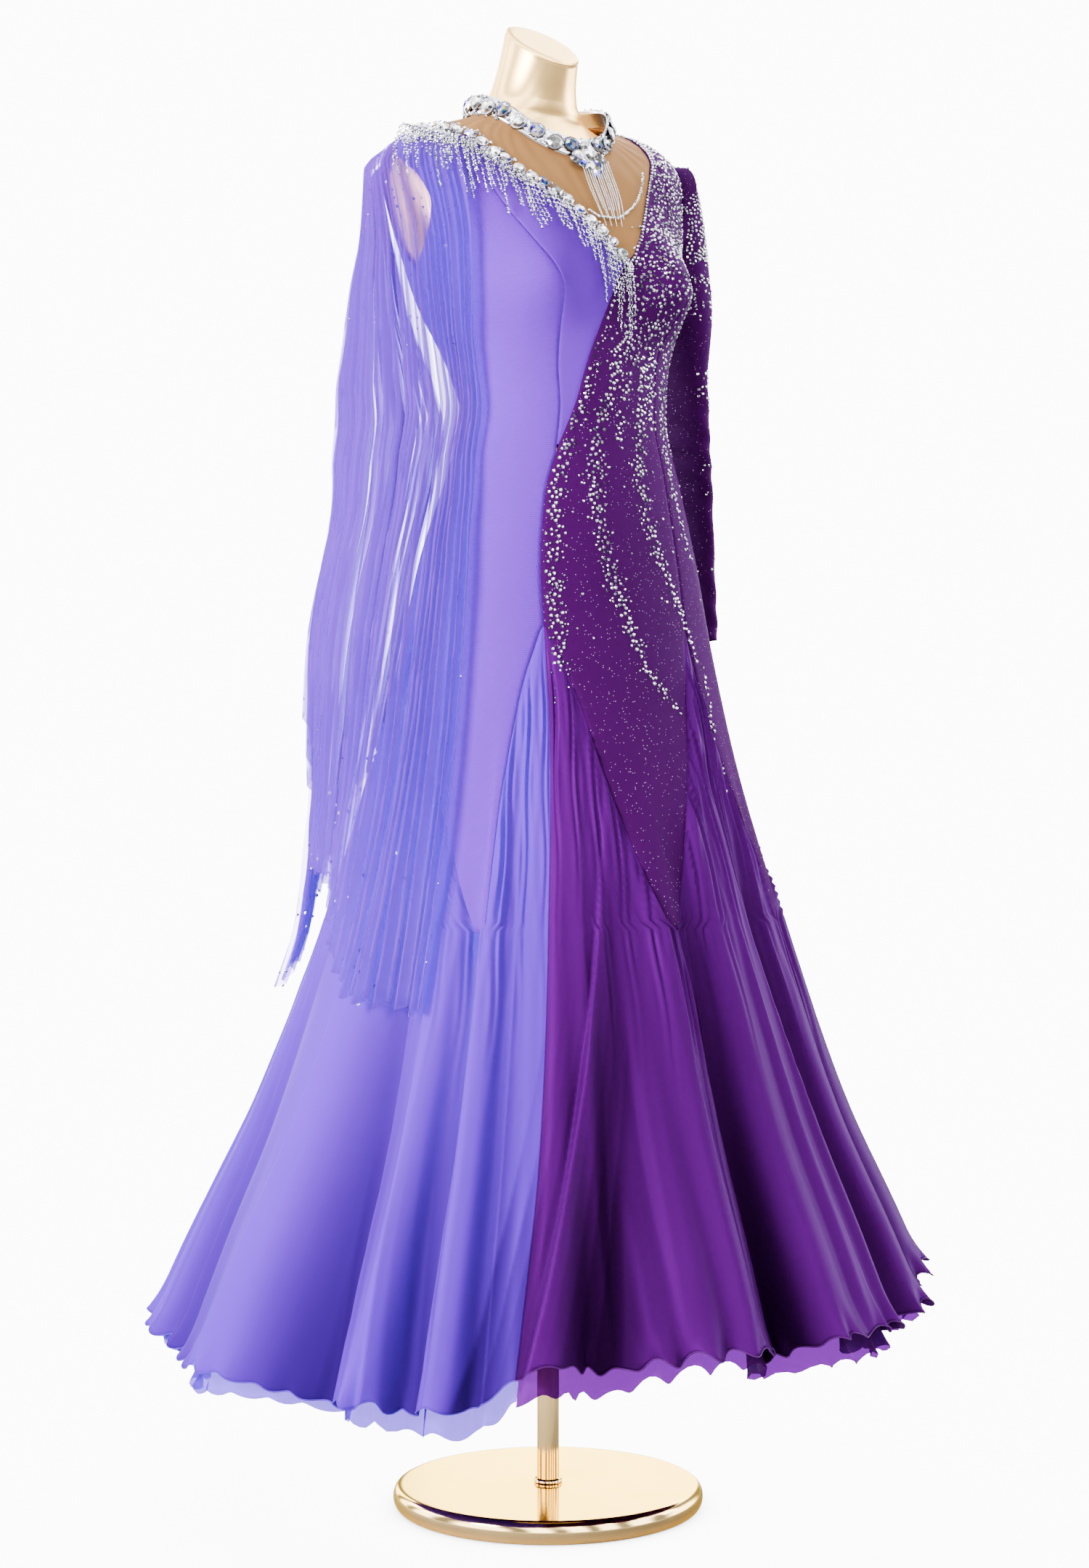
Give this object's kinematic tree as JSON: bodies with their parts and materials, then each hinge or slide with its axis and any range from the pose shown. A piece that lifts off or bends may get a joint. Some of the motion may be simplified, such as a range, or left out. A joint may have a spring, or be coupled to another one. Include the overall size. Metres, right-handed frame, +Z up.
{
  "type": "ballroom dance dress on a dress form",
  "caption": "Floor-length two-colour ballroom dance dress with godet skirt, pleated float sleeve and crystal trim, on a limbless dress form and round-base stand.",
  "frame": {"origin": "centre of the round plate's flat underside, on the pole's axis", "axes": "+Z up, -Y is the wearer's front, +X is the wearer's left"},
  "size_m": [0.8746, 0.8527, 1.709],
  "materials": {
    "gold_metal": "polished champagne gold",
    "form_pearl": "pearlescent gold lacquer",
    "nude_net": "fine nude stretch net",
    "crystal": "cut crystal in silver settings",
    "silver_chain": "bright silver beads and chain",
    "lilac_crepe": "matte ribbed crepe",
    "purple_crepe": "matte crepe with fine glitter",
    "lilac_chiffon": "sheer silky chiffon",
    "purple_chiffon": "sheer silky chiffon"
  },
  "bodies": {
    "root": {"stand_base": "gold_metal", "stand_pole": "gold_metal", "form_torso": "form_pearl", "yoke_front": "nude_net", "yoke_back": "nude_net", "choker": "crystal", "choker_chains": "silver_chain", "neck_swag": "silver_chain", "neckline_band": "crystal", "neckline_fringe": "silver_chain", "bodice_lilac_front": "lilac_crepe", "bodice_lilac_side": "lilac_crepe", "bodice_lilac_back": "lilac_crepe", "bodice_purple_front": "purple_crepe", "bodice_purple_side": "purple_crepe", "bodice_purple_back": "purple_crepe", "sleeve_purple": "purple_crepe", "sleeve_lilac_front": "lilac_chiffon", "sleeve_lilac_back": "lilac_chiffon", "godet_lilac_front": "lilac_chiffon", "godet_lilac_side": "lilac_chiffon", "godet_lilac_back": "lilac_chiffon", "godet_purple_front": "purple_chiffon", "godet_purple_side": "purple_chiffon", "godet_purple_hip": "purple_chiffon", "godet_purple_back": "purple_chiffon", "hem_lilac": "lilac_chiffon", "hem_purple": "purple_chiffon", "underskirt_lilac": "lilac_chiffon", "underskirt_purple": "purple_chiffon"}
  },
  "joints": []
}
